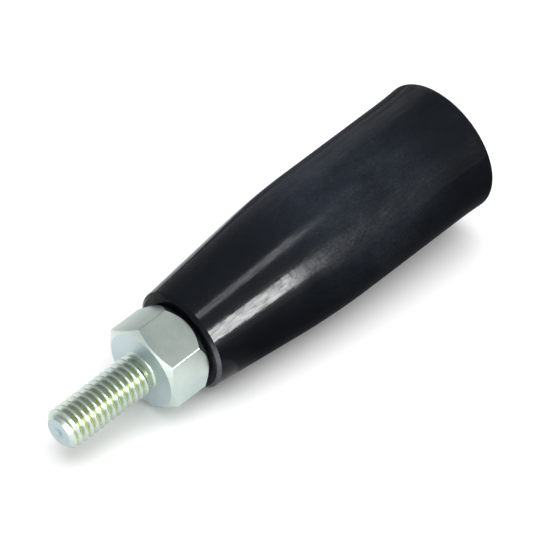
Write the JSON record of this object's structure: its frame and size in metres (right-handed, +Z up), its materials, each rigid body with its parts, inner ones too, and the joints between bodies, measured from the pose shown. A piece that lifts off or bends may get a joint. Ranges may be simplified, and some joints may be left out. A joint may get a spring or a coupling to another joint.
{
  "type": "revolving machine handle",
  "caption": "Revolving machine handle: a tapered, flared black grip that turns freely on a steel spindle with a hexagon collar and a threaded stud.",
  "frame": {"origin": "centre of the hexagon's seat, the face that is pulled against the crank or handwheel", "axes": "+X along the handle's axis from the seat to the free end of the grip, with the stud along -X; +Z up, through a corner of the hexagon"},
  "size_m": [0.0733, 0.02, 0.02],
  "materials": {
    "phenolic": "moulded gloss black thermoset with a faint orange peel",
    "zinc_plated_steel": "bright zinc plating over turned steel",
    "plain_steel": "plain stamped steel",
    "spring_steel": "dark phosphated spring steel",
    "cap_plastic": "satin black moulded plastic"
  },
  "bodies": {
    "spindle": {"spindle": "zinc_plated_steel", "thrust_washer": "plain_steel", "retaining_clip": "spring_steel"},
    "grip": {"grip_sleeve": "phenolic", "end_cap": "cap_plastic"}
  },
  "joints": [
    {"name": "grip_turn", "type": "hinge", "parent": "spindle", "child": "grip", "pos_m": [0, 0, 0], "axis": [1, 0, 0], "continuous": true}
  ]
}
